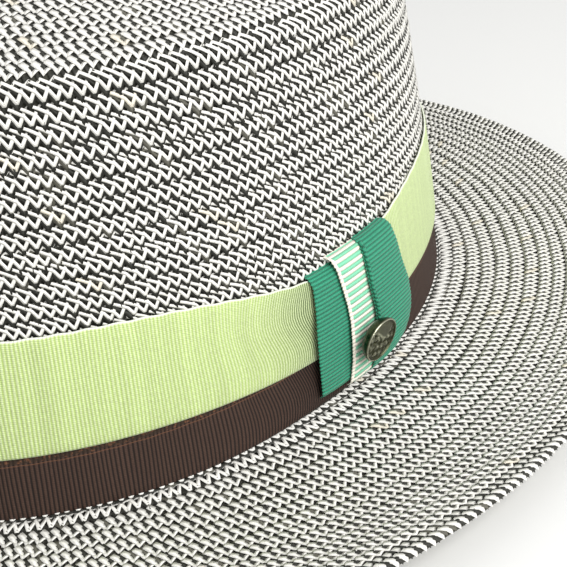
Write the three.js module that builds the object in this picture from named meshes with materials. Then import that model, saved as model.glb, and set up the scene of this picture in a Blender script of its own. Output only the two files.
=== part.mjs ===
// A pork pie hat of sewn two-colour braid, with two overlapping ribbons and a keeper of three straps.
// Millimetres, +Z up. The front is towards -Y and the wearer's left is towards +X. Z = 0 is the table.
import * as THREE from "three";

// Plan of the crown where it meets the brim: a circle drawn out lengthwise, a little fuller at the back.
const BASE_RADIUS = 84; // half the width
const DRAW_OUT = 19; // added to half the length
const DRAW_OUT_FADES = 12; // inside this radius the plan shrinks to a point
const FULLER_BACK = 3.4; // added to half the width towards the back, taken off towards the front
const STEPS_AROUND = 72;

// Brim
const BRIM_THICKNESS = 2;
const BRIM_WIDTH = 53.7;
const FLAT_RING = 8; // the brim lies flat this far out from the crown
const RISE_FRONT = 10.5; // of the brim's edge above the flat ring
const RISE_BACK = 3.2;
const EDGE_ROLL = { width: 3.6, above: 0.6, below: 0.4 }; // the last row is turned over

// Crown
const WALL = 1.8;
const SIDE_LEAN = 0.084; // how far the wall leans in for each millimetre of height
const END_LEAN = 0.0245; // added at the front and the back
const WALL_ROUND = 0.0004; // the lean grows with the height
const WALL_TOP = 84; // height of the wall above the brim
const GAP = 0.3; // between pieces that touch

// The top of the crown, from the wall inwards: a soft shoulder, a sloping border, a ridge, a groove
// that runs all round, and a low middle. Heights are above the brim.
const TOP_SECTIONS = [
  { feature: "shoulder", inward: 0.9, height: 87.2 },
  { feature: "shoulder", inward: 3.4, height: 89.2 },
  { feature: "border", inward: 12, height: 92.7 },
  { feature: "border", inward: 20, height: 95.3 },
  { feature: "ridge", inward: 24, height: 96.2 },
  { feature: "ridge", inward: 28, height: 95.0 },
  { feature: "groove", inward: 33, height: 88.8 },
  { feature: "groove", inward: 36.5, height: 87.2 },
  { feature: "groove", inward: 40, height: 87.6 },
  { feature: "middle", inward: 52, height: 89.6 },
  { feature: "middle", inward: 64, height: 90.4 },
];
const MIDDLE_HEIGHT = 90.6;

// Ribbons, with their edges above the brim. Both are gathered a little where the keeper pinches them.
const RIBBON_THICKNESS = 1;
const UNDER_RIBBON = { low: 0.5, high: 25.4, lowMoves: 1.6, highMoves: 0 };
const OVER_RIBBON = { low: 15.3, high: 40.3, lowMoves: -1, highMoves: -8 };
const PINCH = { at: -16, spread: 13.2 }; // degrees around from the wearer's left

// The keeper's straps lie one on another. Sides are in degrees around, at heights above the brim.
const STRAPS = [
  {
    name: "front_strap",
    layer: 0,
    low: 4.2,
    high: 35.2,
    sides: [
      { height: 0, from: -20.1, to: -11.3 },
      { height: 14, from: -20.6, to: -11.7 },
      { height: 20, from: -20.5, to: -11.6 },
      { height: 28, from: -20, to: -11.1 },
      { height: 40, from: -20.6, to: -11.8 },
    ],
  },
  {
    name: "striped_strap",
    layer: 1,
    low: 3.3,
    high: 36,
    sides: [
      { height: 0, from: -15.4, to: -6.7 },
      { height: 14, from: -15.2, to: -6.3 },
      { height: 20, from: -15, to: -6.2 },
      { height: 28, from: -15.4, to: -6.6 },
      { height: 40, from: -16.8, to: -8 },
    ],
  },
  {
    name: "rear_strap",
    layer: 2,
    low: 2.4,
    high: 37.2,
    sides: [
      { height: 0, from: -11.3, to: -5.2 },
      { height: 6, from: -11.2, to: -4.2 },
      { height: 14, from: -10.8, to: -2.2 },
      { height: 20, from: -10.7, to: -2.1 },
      { height: 28, from: -11, to: -3 },
      { height: 40, from: -10.3, to: -3.4 },
    ],
  },
];
const STRAP_STEPS = { across: 4, leg: 6, bend: 3 };
const BEND_FLATTENED = 0.6; // a bend's height as a share of its depth

// Button, on the edge between the striped and the rear strap
const BUTTON = { around: -12.3, height: 14.6, radius: 5.5 };
const BUTTON_SECTIONS = [
  { feature: "back", out: 0, share: 0 },
  { feature: "back", out: 0, share: 0.82 },
  { feature: "side", out: 1.1, share: 0.94 },
  { feature: "side", out: 2.1, share: 1 },
  { feature: "rim", out: 2.7, share: 0.95 },
  { feature: "rim", out: 2.7, share: 0.84 },
  { feature: "face", out: 2.2, share: 0.78 },
  { feature: "face", out: 2.6, share: 0.35 },
  { feature: "face", out: 2.7, share: 0 },
];

const sine = (degrees) => Math.sin(THREE.MathUtils.degToRad(degrees));
const cosine = (degrees) => Math.cos(THREE.MathUtils.degToRad(degrees));

// How far the crown's wall has leaned in at a height above the brim.
function wallInset(height) {
  return SIDE_LEAN * height + WALL_ROUND * height * height;
}

// The point at a plan radius, a direction in degrees and a height above the table.
function onPlan(radius, degrees, z) {
  const s = sine(degrees);
  const fuller = FULLER_BACK * s * Math.min(1, radius / BASE_RADIUS);
  const drawOut = DRAW_OUT * Math.min(1, radius / DRAW_OUT_FADES);
  return new THREE.Vector3((radius + fuller) * cosine(degrees), (radius + drawOut) * s, z);
}

// The same on the crown, which leans in more at the front and the back, up to the shoulder.
function onCrown(radius, degrees, height) {
  const s = sine(degrees);
  const ends = END_LEAN * THREE.MathUtils.clamp(height, 0, WALL_TOP) * s * s;
  const share = Math.min(1, radius / BASE_RADIUS);
  return onPlan(radius - ends * share, degrees, BRIM_THICKNESS + height);
}

// A point on the crown's wall, or standing off from it.
function onWall(off, degrees, height) {
  return onCrown(BASE_RADIUS - wallInset(height) + off, degrees, height);
}

// A body from a closed profile of [radius, height] carried round the plan by the function place.
function carriedRound(profile, place) {
  const points = profile.map(([radius, height]) => new THREE.Vector2(radius, height));
  const geometry = new THREE.LatheGeometry(points, STEPS_AROUND);
  const position = geometry.attributes.position;
  for (let i = 0; i < position.count; i += 1) {
    const step = Math.floor(i / points.length) % STEPS_AROUND;
    const { x: radius, y: height } = points[i % points.length];
    const spot = place(radius, (360 * step) / STEPS_AROUND, height);
    position.setXYZ(i, spot.x, spot.y, spot.z);
  }
  return geometry;
}

// A body from a box one unit each way, each of its points moved by the function place.
function bentBox(stepsAcross, stepsUp, place) {
  const geometry = new THREE.BoxGeometry(1, 1, 1, stepsAcross, stepsUp, 1);
  const position = geometry.attributes.position;
  for (let i = 0; i < position.count; i += 1) {
    const across = position.getX(i) + 0.5;
    const up = position.getY(i) + 0.5;
    const spot = place(across, up, position.getZ(i) + 0.5);
    position.setXYZ(i, spot.x, spot.y, spot.z);
  }
  return geometry;
}

// The profile moved sideways by a distance, square to itself, for the inside of a wall.
function offsetProfile(profile, distance) {
  const normals = profile.slice(1).map(([radius, height], i) => {
    const across = new THREE.Vector2(height - profile[i][1], profile[i][0] - radius);
    return across.normalize();
  });
  return profile.map(([radius, height], i) => {
    const before = normals[Math.max(0, i - 1)];
    const after = normals[Math.min(normals.length - 1, i)];
    const middle = before.clone().add(after).normalize();
    const reach = distance / middle.dot(after);
    return [Math.max(0, radius - middle.x * reach), height - middle.y * reach];
  });
}

function crownGeometry() {
  const wallHeights = [GAP, 28, 56, WALL_TOP];
  const wall = wallHeights.map((height) => [BASE_RADIUS - wallInset(height), height]);
  const topRadius = BASE_RADIUS - wallInset(WALL_TOP);
  const top = TOP_SECTIONS.map(({ inward, height }) => [topRadius - inward, height]);
  const outside = [...wall, ...top, [0, MIDDLE_HEIGHT]];
  const inside = offsetProfile(outside, WALL);
  inside[0][1] = GAP;
  inside[inside.length - 1] = [0, MIDDLE_HEIGHT - WALL];
  return carriedRound([...inside.reverse(), ...outside], onCrown);
}

// How far the brim has risen, as a share of the rise at its edge.
function riseShare(out) {
  return Math.max(0, (out - FLAT_RING) / (BRIM_WIDTH - FLAT_RING)) ** 2;
}

function brimGeometry() {
  const rollStart = BRIM_WIDTH - EDGE_ROLL.width;
  const outs = [-WALL, FLAT_RING, 19, 30, 40, rollStart];
  const roll = [
    { out: rollStart + 0.8, below: EDGE_ROLL.below, above: EDGE_ROLL.above },
    { out: BRIM_WIDTH - 0.8, below: EDGE_ROLL.below, above: EDGE_ROLL.above },
    { out: BRIM_WIDTH, below: -0.4, above: -0.4 },
  ];
  const rows = [...outs.map((out) => ({ out, below: 0, above: 0 })), ...roll];
  const underside = rows.map(({ out, below }) => [BASE_RADIUS + out, -below]);
  const upper = rows.map(({ out, above }) => [BASE_RADIUS + out, BRIM_THICKNESS + above]);
  const profile = [...underside, ...upper.reverse(), underside[0]];
  const middleRise = (RISE_FRONT + RISE_BACK) / 2;
  const tilt = (RISE_FRONT - RISE_BACK) / 2;
  return carriedRound(profile, (radius, degrees, height) => {
    const edgeRise = middleRise - tilt * sine(degrees);
    return onPlan(radius, degrees, height + edgeRise * riseShare(radius - BASE_RADIUS));
  });
}

// How strongly the keeper pinches the ribbons at a direction, from 0 to 1.
function pinch(degrees) {
  const away = THREE.MathUtils.euclideanModulo(degrees - PINCH.at + 180, 360) - 180;
  return Math.exp(-((away / PINCH.spread) ** 2) / 2);
}

function ribbonGeometry(ribbon, off) {
  const shares = [0, 0.5, 1];
  const inner = shares.map((share) => [off, share]);
  const outer = shares.map((share) => [off + RIBBON_THICKNESS, share]);
  return carriedRound([inner[0], ...outer, ...inner.reverse()], (offset, degrees, share) => {
    const low = ribbon.low + ribbon.lowMoves * pinch(degrees);
    const high = ribbon.high + ribbon.highMoves * pinch(degrees);
    return onWall(offset, degrees, THREE.MathUtils.lerp(low, high, share));
  });
}

// The direction of a strap's point between its two sides, at a height.
function strapDirection(sides, height, across) {
  const above = Math.max(1, sides.findIndex((row) => row.height >= height));
  const [a, b] = [sides[above - 1], sides[above]];
  const share = (height - a.height) / (b.height - a.height);
  const from = THREE.MathUtils.lerp(a.from, b.from, share);
  const to = THREE.MathUtils.lerp(a.to, b.to, share);
  return THREE.MathUtils.lerp(from, to, across);
}

// A strap bends in over the ribbons' top edge to the crown, and in under its own end to the ribbon.
function strapGeometry({ layer, low, high, sides }) {
  const outerSide = 2 * (RIBBON_THICKNESS + GAP) + (layer + 1) * (RIBBON_THICKNESS + GAP);
  const topRadius = outerSide - GAP - 0.1;
  const endRadius = outerSide - RIBBON_THICKNESS - 2 * GAP;
  const { leg, bend, across: stepsAcross } = STRAP_STEPS;
  const steps = leg + 2 * bend;
  return bentBox(stepsAcross, steps, (across, up, outward) => {
    const step = Math.round(up * steps);
    const depth = RIBBON_THICKNESS * (1 - outward);
    const lowTurn = Math.max(0, bend - step) / bend;
    const highTurn = Math.max(0, step - bend - leg) / bend;
    const turn = 90 * Math.max(lowTurn, highTurn);
    const radius = highTurn > 0 ? topRadius : endRadius;
    const along = THREE.MathUtils.clamp((step - bend) / leg, 0, 1);
    const straightLow = low + BEND_FLATTENED * endRadius;
    const straightHigh = high - BEND_FLATTENED * topRadius;
    const straight = THREE.MathUtils.lerp(straightLow, straightHigh, along);
    const rise = BEND_FLATTENED * (radius - depth) * sine(turn) * (lowTurn > 0 ? -1 : 1);
    const off = outerSide - radius + (radius - depth) * cosine(turn);
    const height = straight + rise;
    return onWall(off, strapDirection(sides, height, across), height);
  });
}

function buttonGeometry() {
  const points = BUTTON_SECTIONS.map(({ out, share }) => new THREE.Vector2(share * BUTTON.radius, out));
  return new THREE.LatheGeometry(points, 24);
}

function clothMaterial(color) {
  return new THREE.MeshStandardMaterial({ color, roughness: 0.85, metalness: 0 });
}

const hat = new THREE.Group();

function addPiece(name, geometry, material) {
  const mesh = new THREE.Mesh(geometry, material);
  mesh.name = name;
  hat.add(mesh);
  return mesh;
}

const braid = new THREE.MeshStandardMaterial({ color: 0x9c9a92, roughness: 0.7, metalness: 0 });
addPiece("crown", crownGeometry(), braid);
addPiece("brim", brimGeometry(), braid);
addPiece("under_ribbon", ribbonGeometry(UNDER_RIBBON, GAP), clothMaterial(0x4a3630));
const overOff = 2 * GAP + RIBBON_THICKNESS;
addPiece("over_ribbon", ribbonGeometry(OVER_RIBBON, overOff), clothMaterial(0xd6e59c));

const strapColors = { front_strap: 0x1e8c69, striped_strap: 0xbfeed2, rear_strap: 0x1e8c69 };
for (const strap of STRAPS) {
  addPiece(strap.name, strapGeometry(strap), clothMaterial(strapColors[strap.name]));
}

// The button faces straight out from the wall, half on the rear strap's edge.
const bronze = new THREE.MeshStandardMaterial({ color: 0x5f5c44, roughness: 0.35, metalness: 1 });
const button = addPiece("button", buttonGeometry(), bronze);
const strapOuter = (2 + STRAPS.length) * (RIBBON_THICKNESS + GAP);
const seat = onWall(strapOuter + GAP, BUTTON.around, BUTTON.height);
const aside = onWall(strapOuter, BUTTON.around + 1, BUTTON.height).sub(
  onWall(strapOuter, BUTTON.around - 1, BUTTON.height),
);
const upward = onWall(strapOuter, BUTTON.around, BUTTON.height + 1).sub(
  onWall(strapOuter, BUTTON.around, BUTTON.height - 1),
);
const facing = aside.cross(upward).normalize();
button.quaternion.setFromUnitVectors(new THREE.Vector3(0, 1, 0), facing);
button.position.copy(seat);

export default hat;
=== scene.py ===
"""Dresses the frame of a pork pie hat: rows of sewn braid, ribbons, a keeper of straps and a button."""

import math
from collections import namedtuple

import bpy
import numpy as np
from bpy.props import FloatProperty, FloatVectorProperty, PointerProperty
from mathutils import Matrix


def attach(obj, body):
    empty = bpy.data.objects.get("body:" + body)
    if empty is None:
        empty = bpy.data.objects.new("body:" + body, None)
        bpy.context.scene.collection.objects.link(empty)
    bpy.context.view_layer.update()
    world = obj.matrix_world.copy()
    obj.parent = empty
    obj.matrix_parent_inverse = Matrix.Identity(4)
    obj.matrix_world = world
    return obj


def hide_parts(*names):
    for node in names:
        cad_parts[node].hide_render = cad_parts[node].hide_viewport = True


bl_info = {
    "name": "Pork pie hat",
    "version": (1, 0, 0),
    "blender": (4, 5, 0),
    "location": "3D View > Sidebar > Hat",
    "description": "Sewn braid, ribbons, keeper and button of a pork pie hat",
    "category": "Object",
}

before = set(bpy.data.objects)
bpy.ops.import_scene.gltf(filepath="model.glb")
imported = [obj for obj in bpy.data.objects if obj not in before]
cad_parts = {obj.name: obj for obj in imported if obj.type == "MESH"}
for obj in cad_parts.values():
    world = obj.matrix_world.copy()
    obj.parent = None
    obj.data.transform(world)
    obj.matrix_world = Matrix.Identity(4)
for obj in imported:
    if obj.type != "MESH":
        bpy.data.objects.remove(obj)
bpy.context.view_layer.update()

# Shapes are worked out in millimetres and scaled when they become meshes.
MM = 0.001
SEED = 7
PROFILE_STEP = 0.2  # between the points of a profile
RING_POINTS = 721  # round a ring whose length is measured
ARC_POINTS = 22  # up the crown's wall, and round the brim's edge

# Plan of the crown where it meets the brim: a circle drawn out lengthwise, fuller at the back.
BASE_RADIUS = 84.0
DRAW_OUT = 19.0
DRAW_OUT_FADES = 9.0  # radius below which it fades out towards the middle
FULLER_BACK = 3.4

# Brim
BRIM_THICKNESS = 2.0
BRIM_WIDTH = 53.7
FLAT_RING = 8.0  # width of the flat part beside the crown
RISE_FRONT = 10.5
RISE_BACK = 3.2
EDGE_RADIUS = 1.05
EDGE_TURNS = (-120, 90)  # degrees that the rolled edge goes through, from underneath to the top
EDGE_RAISED = 0.1  # its middle above the middle of the brim's thickness
EDGE_BLENDS = 4.0  # how far in from its middle the brim is plain again
BRIM_SOFTENED = 0.6  # how far each corner of the profile is rounded

# Crown
WALL = 1.8  # thickness
SIDE_LEAN = 0.084  # how far the wall leans in for each millimetre up
END_LEAN = 0.0245  # and how much more at the front and back
WALL_ROUND = 0.0004  # and with the square of the height
WALL_TOP = 84.0
GAP = 0.3  # between the brim and the crown's foot
CROWN_SOFTENED = 1.6

# The top of the crown from the wall inwards, with heights above the brim.
TopSection = namedtuple("TopSection", "feature inward height")
TOP_SECTIONS = (
    TopSection("shoulder", 0.6, 88.0),
    TopSection("border", 8.0, 91.4),
    TopSection("border", 15.0, 94.2),
    TopSection("ridge", 21.0, 96.2),
    TopSection("ridge", 24.5, 96.6),
    TopSection("ridge", 28.0, 95.2),
    TopSection("groove", 33.0, 89.0),
    TopSection("groove", 36.5, 87.4),
    TopSection("groove", 40.0, 87.8),
    TopSection("middle", 52.0, 89.7),
    TopSection("middle", 64.0, 90.5),
    TopSection("middle", 74.12, 90.7),
)

# Width of a row of braid on the crown's wall by height above the brim, and on the brim by radius.
RowWidth = namedtuple("RowWidth", "place width")
WALL_ROWS = (RowWidth(30, 3.4), RowWidth(45, 3.45), RowWidth(60, 3.6), RowWidth(75, 3.85), RowWidth(88, 4.0))
TOP_ROW = 3.6  # about the width of a row on the top
TOP_EYE = 1.0  # what the last row leaves open in the middle
BRIM_ROWS = (
    RowWidth(82.7, 2.6),
    RowWidth(85.3, 4.0),
    RowWidth(104, 4.0),
    RowWidth(116, 3.45),
    RowWidth(125, 2.75),
    RowWidth(132, 2.55),
    RowWidth(134, 3.4),
)
BRAIDED_FROM = 32.5  # the ribbons hide the braid below this height
SHOULDER_ROW = 4.0  # the wall's rows meet the top's this far past the wall's top
LAST_ROW = 2.5  # no row begins nearer than this to the brim's edge

# Ways of the pale and the dark strands through the plait. Along is in repeats from the pale fold,
# down is a share of the row's width from its upper or inner edge, lift is in millimetres above the
# wall, and wide is a share of the yarn's width. A strand comes back to its way after three repeats.
StrandPoint = namedtuple("StrandPoint", "along down lift wide")
Weave = namedtuple("Weave", "repeat pale dark")
STRANDS = 3
CORNERS_AT = (30, 150, 270)  # degrees round a strand where its corners stand
MITRE_LIMIT = 1.8  # the most that a fold stretches a strand sideways
FEWEST_REPEATS = 6  # round the smallest ring
# On the wall the folds lie over the row below and show as bold zigzags.
WALL_WEAVE = Weave(
    repeat=2.29,
    pale=(
        StrandPoint(-1.90, 0.00, 0.25, 0.58),
        StrandPoint(-1.22, 0.21, 0.60, 0.64),
        StrandPoint(-0.46, 0.50, 0.66, 0.68),
        StrandPoint(-0.02, 0.90, 0.76, 0.72),
        StrandPoint(0.07, 0.90, 0.76, 0.72),
        StrandPoint(0.42, 0.50, 0.60, 0.66),
        StrandPoint(0.62, 0.28, -0.15, 0.50),
    ),
    dark=(
        StrandPoint(-0.78, 0.08, 0.22, 0.85),
        StrandPoint(-0.25, 0.28, 0.40, 0.85),
        StrandPoint(0.04, 0.52, 0.30, 0.85),
        StrandPoint(0.50, 0.70, 0.34, 1.05),
        StrandPoint(1.00, 1.12, 0.68, 1.15),
        StrandPoint(1.48, 0.70, 0.28, 1.05),
    ),
)
# Where the brim meets the crown the folds reach right across the row.
FOOT_WEAVE = Weave(
    repeat=2.20,
    pale=(
        StrandPoint(-1.10, 0.00, 0.10, 0.60),
        StrandPoint(-0.50, 0.12, 0.58, 0.72),
        StrandPoint(-0.04, 0.86, 0.72, 0.85),
        StrandPoint(0.06, 0.86, 0.72, 0.85),
        StrandPoint(0.44, 0.16, 0.56, 0.75),
        StrandPoint(0.75, 0.00, -0.10, 0.60),
    ),
    dark=WALL_WEAVE.dark,
)
# On the brim and the top each row's inner side is raised over its neighbour: fat slanting strands
# come down from it, and the folds behind them show as a fine zigzag.
FLAT_WEAVE = Weave(
    repeat=2.20,
    pale=(
        StrandPoint(-0.92, -0.02, 0.10, 0.70),
        StrandPoint(-0.56, 0.10, 0.84, 1.28),
        StrandPoint(-0.20, 0.36, 0.74, 1.52),
        StrandPoint(0.02, 0.56, 0.42, 0.85),
        StrandPoint(0.20, 0.84, 0.42, 0.80),
        StrandPoint(0.58, 0.56, 0.38, 0.80),
    ),
    dark=(
        StrandPoint(-0.42, -0.02, 0.00, 0.70),
        StrandPoint(-0.06, 0.10, 0.74, 1.20),
        StrandPoint(0.30, 0.36, 0.64, 1.30),
        StrandPoint(0.52, 0.56, 0.10, 0.80),
        StrandPoint(0.72, 0.98, 0.05, 0.80),
    ),
)
# On the brim's last row the strands go over the edge without folding: two rings of short lobes.
EDGE_WEAVE = Weave(
    repeat=2.20,
    pale=(
        StrandPoint(-0.45, -0.08, -0.50, 0.80),
        StrandPoint(-0.28, 0.10, 0.50, 1.25),
        StrandPoint(-0.14, 0.42, 0.54, 1.25),
        StrandPoint(-0.04, 0.57, 0.20, 1.00),
        StrandPoint(0.10, 0.68, 0.52, 1.25),
        StrandPoint(0.50, 0.94, 0.50, 1.25),
        StrandPoint(0.86, 1.12, 0.26, 1.00),
    ),
    dark=(
        StrandPoint(0.05, -0.08, -0.50, 0.80),
        StrandPoint(0.22, 0.10, 0.42, 1.25),
        StrandPoint(0.36, 0.42, 0.46, 1.25),
        StrandPoint(0.46, 0.57, 0.16, 1.00),
        StrandPoint(0.60, 0.68, 0.46, 1.25),
        StrandPoint(1.00, 0.94, 0.46, 1.25),
        StrandPoint(1.36, 1.12, 0.22, 1.00),
    ),
)
# A strand is flatter than it is wide.
Yarn = namedtuple("Yarn", "half_width half_height")
PALE_YARN = Yarn(0.56, 0.40)
DARK_YARN = Yarn(0.48, 0.38)
# How far strands leave their way: each by itself, and all of a row together in slow waves.
STRAY_ALONG = 0.04  # of a repeat
STRAY_DOWN = 0.015  # of the row's width
STRAY_LIFT = 0.04
WAVER_DOWN = 0.02  # of the row's width
WAVER_COUNTS = (3, 7, 13, 29)  # waves round the hat
WAVER_START = 6  # radians that a wave may be turned by

# Shells under the strands
ROW_RELIEF = 0.35  # how high the shell swells under the middle of a row
CROWN_SUNK = 0.25  # how far the shell lies under the crown's surface
CROWN_COLUMNS = 112
CROWN_PLAIN_STEP = 6.0  # between rings where there are no rows
CROWN_INNER_RINGS = 44
CROWN_EYE = 0.4  # left open in the middle of the top, and capped
CROWN_BACKING = (230, 0.8)  # plaits round the back of the braid, and plaits a ring
BRIM_SUNK = 0.3
BRIM_COLUMNS = 128
BRIM_PLAIN_STEP = 0.6
BRIM_EVEN_AT = 2.0  # columns are evenly spaced this far out from the brim's inner edge
BRIM_UNDER_RINGS = 31
BRIM_UNDER_ENDS = 3.0  # the underside's last ring, in from the brim's edge
BRIM_UNDER_RIPPLE = 0.15  # every other ring is raised by this
BRIM_BACKING = (300, 0.5)

# Ribbons, with their edges above the brim, and how far the keeper's pinch moves each edge.
Ribbon = namedtuple("Ribbon", "low high low_moves high_moves stand_off thickness rib")
UNDER_RIBBON = Ribbon(0.4, 25.2, 1.6, 0.0, 0.45, 0.5, 0.90)
OVER_RIBBON = Ribbon(14.95, 40.3, -1.0, -7.6, 1.30, 0.45, 0.78)
PINCH_AT = math.radians(-15.5)
PINCH_SPREAD = math.radians(13.2)
RIBBON_LENGTH_AT = 20.0  # their length is measured this far up the crown
LIME_EDGE = 0.4  # width of the upper ribbon's pale top edge
LIME_EDGE_FADES = 0.25
SEAM_HEIGHT = 13.0  # a row of rust thread on the lower ribbon, just below the upper one
SEAM_HALF_WIDTH = 0.11
SEAM_CROSSED_FROM = 0.45  # crossed threads begin this far above the row
CROWDED_RIBS = 8  # ribs gathered in beside the keeper, in front of it
CROWDED_LAP = 0.055  # share of the way round the hat that they take
PAINTED_SHADE_FROM = 0.5  # pinch at which painted shade begins to darken the ribbon beside the keeper
PAINTED_SHADE_OVER = 0.42
RIBBON_COLUMNS = 640
RIBBON_FACE = (0, 0.02, 0.08, 0.16, 0.24, 0.32, 0.4, 0.48, 0.56, 0.64, 0.72, 0.8, 0.9, 0.98, 1)
RIBBON_EDGE_THINNED = 0.4  # share of the thickness
# Waves, each a size, a count and a start in radians.
Wave = namedtuple("Wave", "size count start")
RIBS_LEAN = np.radians(0.10)
RIBS_LEAN_WAVES = (Wave(1.0, 31, 1.3), Wave(0.7, 53, 0.4))
TOP_EDGE_WAVES = (Wave(0.10, 97, 0.0),)
RIBS_FOLD = np.radians(0.9)  # how far the pinch swings the ribs
RIBS_FOLD_AT = np.radians(7.0)  # and how far in front of the keeper
RIBS_FOLD_START = 0.5  # radians
PUCKER = 0.03  # height of the face's puckers
PUCKER_PINCHED = 0.12  # added at the keeper
PUCKER_COUNT = 40  # puckers round the hat
PUCKER_SLANT = 3  # radians that they shift from the lower edge to the upper

SIDE_REACH = 60  # degrees either way from the wearer's left over which distances are read
SIDE_POINTS = 481
# Each strap's sides as distances round the foot of the crown from the wearer's left, and how far
# its face stands off the crown.
StrapRow = namedtuple("StrapRow", "height left right stand_off")
FRONT_STRAP = (
    StrapRow(4.2, -36.3, -20.6, 1.6),
    StrapRow(4.9, -36.4, -20.6, 2.6),
    StrapRow(8.0, -36.7, -20.7, 3.0),
    StrapRow(14.0, -37.0, -21.0, 3.5),
    StrapRow(20.8, -36.8, -20.8, 3.7),
    StrapRow(26.4, -36.0, -20.2, 3.4),
    StrapRow(31.5, -35.7, -20.0, 3.1),
    StrapRow(33.6, -36.1, -20.3, 2.4),
    StrapRow(34.2, -36.4, -20.6, 0.9),
)
STRIPED_STRAP = (
    StrapRow(3.3, -27.6, -12.0, 2.2),
    StrapRow(4.1, -27.7, -12.0, 3.4),
    StrapRow(9.9, -27.4, -11.6, 4.5),
    StrapRow(14.4, -27.3, -11.4, 4.9),
    StrapRow(19.8, -27.0, -11.2, 4.9),
    StrapRow(24.0, -27.2, -11.4, 4.7),
    StrapRow(28.3, -27.8, -11.8, 4.4),
    StrapRow(32.9, -28.5, -12.6, 4.0),
    StrapRow(35.3, -29.0, -13.2, 3.0),
    StrapRow(36.0, -29.4, -13.6, 1.0),
)
REAR_STRAP = (
    StrapRow(3.6, -20.2, -12.4, 3.2),
    StrapRow(4.8, -20.3, -9.9, 4.4),
    StrapRow(7.3, -20.2, -6.9, 5.4),
    StrapRow(9.9, -19.9, -5.5, 6.0),
    StrapRow(12.9, -19.6, -4.1, 6.2),
    StrapRow(15.7, -19.3, -3.6, 6.2),
    StrapRow(20.2, -19.2, -3.8, 6.1),
    StrapRow(25.7, -19.8, -5.2, 5.7),
    StrapRow(31.3, -19.7, -5.6, 5.0),
    StrapRow(34.6, -19.4, -5.7, 4.0),
    StrapRow(35.9, -18.9, -5.8, 2.6),
    StrapRow(36.2, -18.6, -6.4, 0.9),
)
STRAP_THICKNESS = 0.5
STRAP_RIB = 0.95
STRAP_RIB_STEPS = 4
STRAP_FACE = (0.0, 0.03, 0.1, 0.25, 0.42, 0.58, 0.75, 0.9, 0.97, 1.0)
STRAP_SWELL = 0.10  # of the face on each rib
STRAP_SWELL_ENDS = 0.08  # share of the width at each side where it stops shrinking
STRAP_SIDE_RIPPLE = 0.10  # of the sides on each rib
STRAP_SIDE_DROOP = 0.25
STRAP_SOFTENED = 7  # steps that each step is averaged over
STRIPES_FROM = (0.65, 0.85)  # the stripes begin between these places, in from the strap's side
CORD_RADIUS = 0.38
CORD_LAY = 1.1
CORD_SWELL = 0.3  # share of the radius
CORD_LOW = 11.0
CORD_HIGH = 35.7
CORD_STEPS = 170
CORD_SIDES = 8

# Button, with its sections from the back round the rim to the middle of its face.
BUTTON_ROUND = -22.2  # distance round the foot of the crown
BUTTON_HEIGHT = 14.6
BUTTON_TURNED = math.radians(-2.5)  # how far it faces round from square to the crown
BUTTON_TIPPED = math.radians(-15.5)  # and how far it faces up
BUTTON_RADIUS = 5.5
BUTTON_OFF = 6.4
BUTTON_RINGS = 41
BUTTON_SIDES = 72
ButtonSection = namedtuple("ButtonSection", "feature share out")
BUTTON_SECTIONS = (
    ButtonSection("back", 0.70, 0.0),
    ButtonSection("side", 0.80, 0.2),
    ButtonSection("side", 0.92, 1.0),
    ButtonSection("side", 0.99, 1.9),
    ButtonSection("rim", 1.00, 2.3),
    ButtonSection("rim", 0.97, 2.6),
    ButtonSection("rim", 0.93, 2.62),
    ButtonSection("rim", 0.90, 2.4),
    ButtonSection("face", 0.86, 2.2),
    ButtonSection("face", 0.60, 2.3),
    ButtonSection("face", 0.40, 2.35),
    ButtonSection("face", 0.20, 2.4),
    ButtonSection("face", 0.04, 2.4),
)
BUTTON_RIM_AT = 5.2  # the rim's highest place and the face's beginning, counted in sections
BUTTON_RIM_WIDE = 0.6
BUTTON_FACE_FROM = 7.8
FACE_ENDS = 0.88  # share of the radius where the face's relief has faded out
FACE_FADES = 0.08
LINE_AT = 0.3  # the wavy line's place above the middle, as a share of the radius
LINE_WAVES = (Wave(0.25, 4.5, 0.6),)
LINE_SHARP = 0.03
# Brightness on the face: partly rubbed wear, partly painted highlight.
LINE_WORN_AND_HIGHLIGHT = 0.07
SMOOTH_RAISED = 0.35
SMOOTH_WORN_AND_HIGHLIGHT = 0.15
ROUGH_RAISED = 0.30
ROUGH_WORN_AND_HIGHLIGHT = 0.7
RoughWave = namedtuple("RoughWave", "size across upward then_across then_upward")
ROUGH_WAVES = (RoughWave(1.0, 11, 7, -6, 9), RoughWave(0.7, 23, -5, 8, 19))

# Colours from 0 to 255
PALE_TINT = (246, 244, 237)
PALE_ODD_TINT = (238, 231, 214)
DARK_TINT = (52, 52, 46)
DARK_ODD_TINT = (96, 94, 84)
BACKING_TINT = (205, 202, 192)
BACKING_GREY_TINT = (120, 118, 108)
# Painted shade: the dark shell that shows between the strands.
GAP_SHADE_TINT = (84, 83, 75)
GAP_DEEP_SHADE_TINT = (44, 44, 38)
LIME_TINT = (208, 222, 168)
# Groove tints, this one and the brown, teal and stripe ones below, are painted shade in the recesses between
# ribs.
LIME_GROOVE_SHADE_TINT = (176, 200, 112)
LIME_EDGE_TINT = (238, 242, 224)
# Painted shade: the upper ribbon darkened beside the keeper's front strap.
LIME_PAINTED_SHADE_TINT = (66, 88, 44)
BROWN_TINT = (76, 56, 47)
BROWN_GROOVE_SHADE_TINT = (27, 19, 15)
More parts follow.
